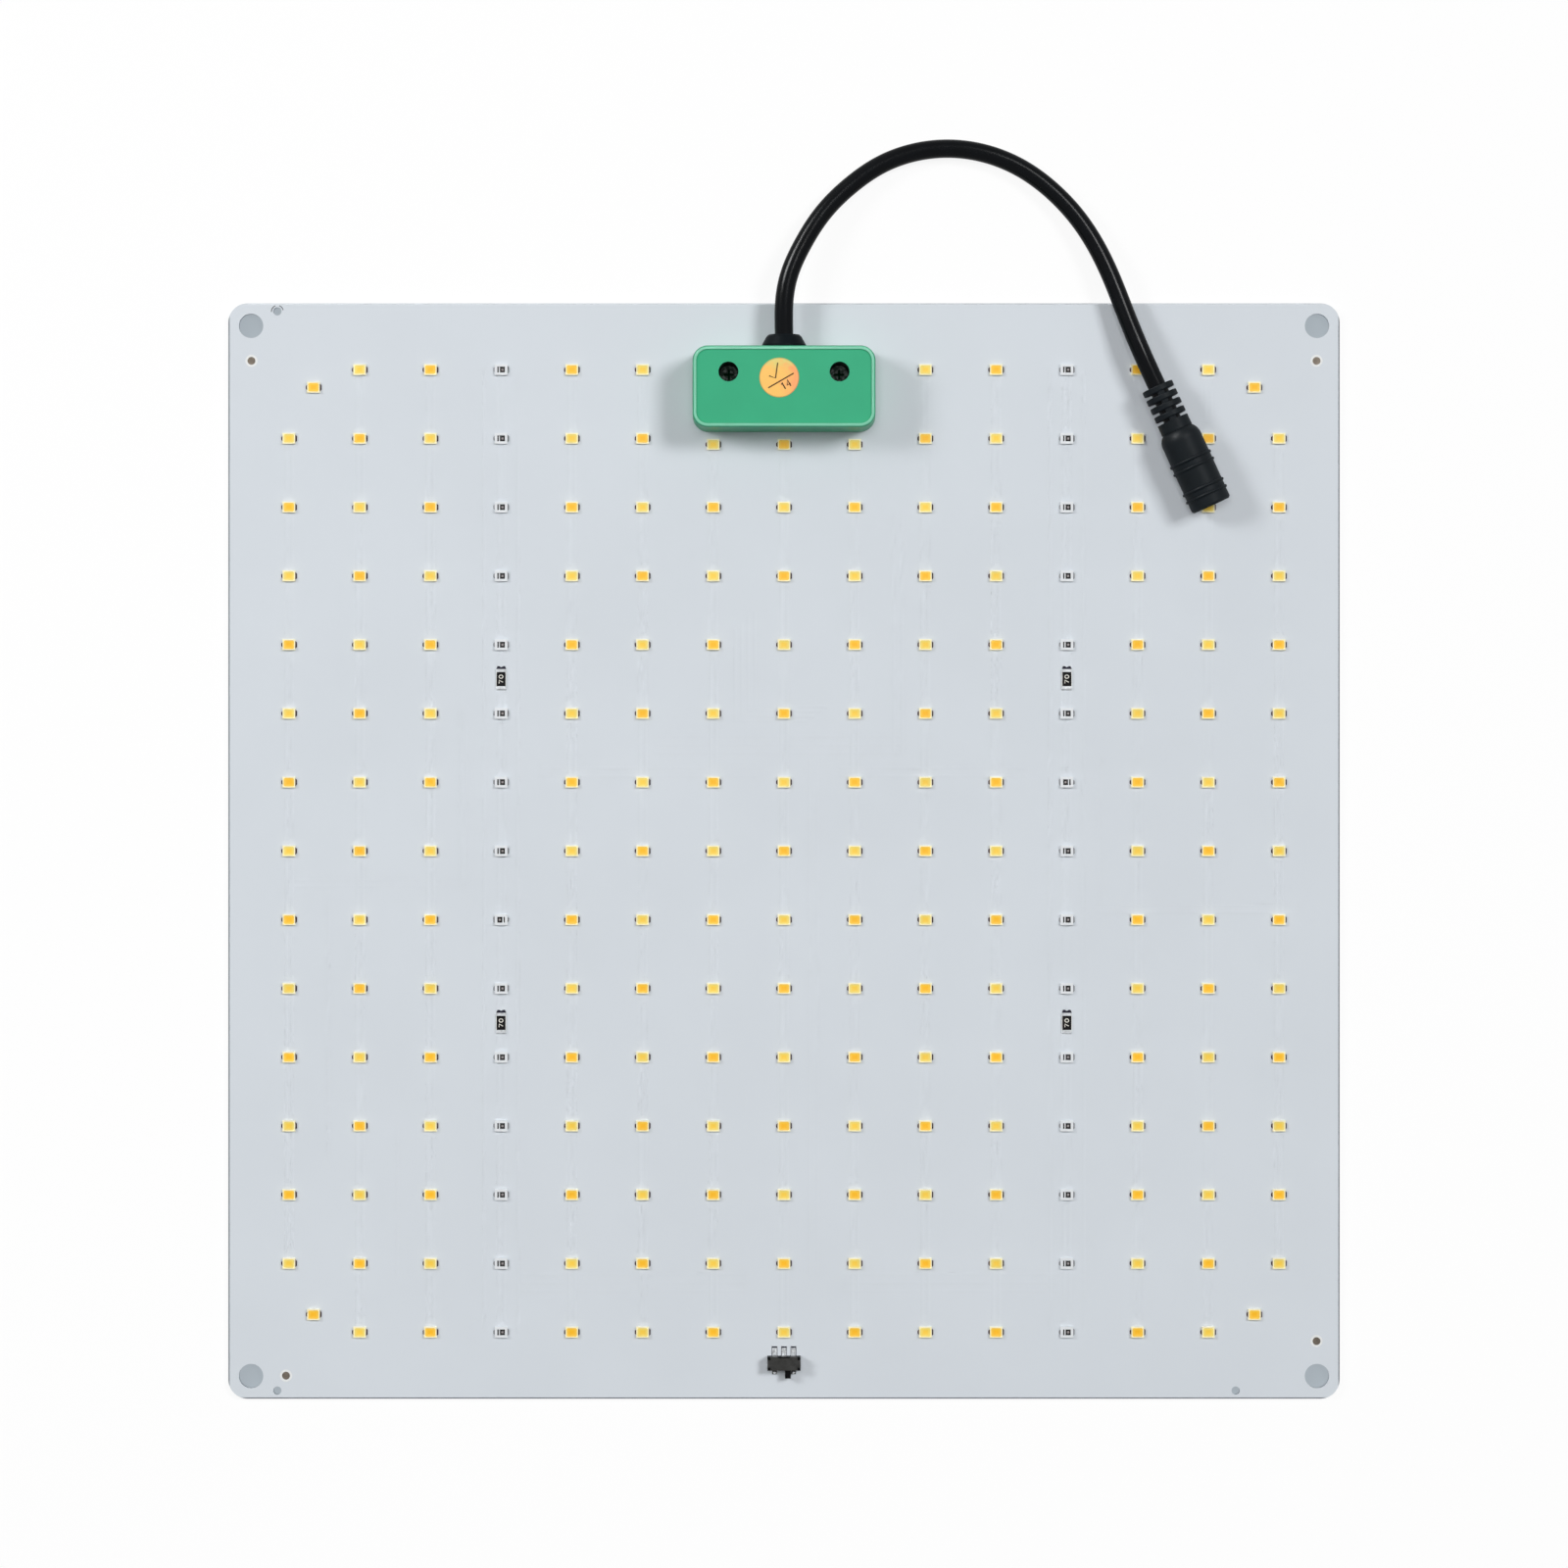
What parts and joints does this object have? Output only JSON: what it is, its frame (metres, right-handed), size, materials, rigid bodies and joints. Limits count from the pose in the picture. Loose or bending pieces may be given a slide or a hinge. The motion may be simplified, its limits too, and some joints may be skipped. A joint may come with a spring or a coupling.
{
  "type": "led grow light board",
  "caption": "Flat aluminium-core grow light board with a grid of white and red LEDs, a slide switch, a screwed terminal cover and a short power lead with a round socket.",
  "frame": {"origin": "centre of the board's back face, on the surface that the board lies on", "axes": "+X along the board's longer side, +Y towards the edge with the terminal cover and the lead, +Z out of the LED face"},
  "size_m": [0.283, 0.3205, 0.0155],
  "materials": {
    "board_mask": "white solder mask over an aluminium core, satin",
    "bare_copper": "tarnished bare copper",
    "led_white_plastic": "white moulded package",
    "warm_phosphor": "amber phosphor in silicone",
    "cool_phosphor": "pale yellow phosphor in silicone",
    "lead_frame": "dark mirror of plated lead frame",
    "led_die": "dark red die",
    "clear_fill": "clear silicone",
    "dark_solder": "smooth solder that mirrors its dark surroundings",
    "solder": "tinned metal and solder",
    "resistor_ceramic": "white alumina",
    "resistor_coating": "black resistor coating",
    "switch_plastic": "black moulded plastic",
    "switch_sheet": "dark plated sheet",
    "contact_bronze": "spring bronze",
    "green_plastic": "green moulded plastic, satin",
    "dark_screw": "dark plated screw",
    "sticker_paper": "gold paper sticker",
    "gland_rubber": "black moulded rubber",
    "red_wire": "red insulation",
    "black_wire": "black insulation",
    "cable_jacket": "black cable jacket, semi-gloss",
    "socket_jacket": "black moulded jacket, satin",
    "socket_core": "black insulating core",
    "plated_contact": "nickel-plated contact"
  },
  "bodies": {
    "board": {"circuit_board": "board_mask", "alignment_dots": "bare_copper", "white_led_housings": "led_white_plastic", "warm_phosphor": "warm_phosphor", "cool_phosphor": "cool_phosphor", "red_led_housings": "led_white_plastic", "red_led_frames": "lead_frame", "red_led_dies": "led_die", "red_led_fills": "clear_fill", "white_led_terminals": "dark_solder", "red_led_terminals": "solder", "resistor_bodies": "resistor_ceramic", "resistor_coatings": "resistor_coating", "resistor_end_caps": "solder", "switch_base": "switch_plastic", "switch_cover": "switch_sheet", "switch_terminals": "solder", "terminal_cover": "green_plastic", "cover_screws": "dark_screw", "inspection_sticker": "sticker_paper", "cable_gland": "gland_rubber", "positive_wire": "red_wire", "negative_wire": "black_wire", "wire_joints": "solder", "power_cable": "cable_jacket", "socket_shell": "socket_jacket", "socket_insert": "socket_core", "socket_pin": "plated_contact", "socket_contact": "plated_contact"},
    "slider": {"switch_slider": "switch_plastic", "switch_contact": "contact_bronze"}
  },
  "joints": [
    {"name": "switch_slide", "type": "slide", "parent": "board", "child": "slider", "axis": [1, 0, 0], "range_m": [-0.002, 0]}
  ]
}
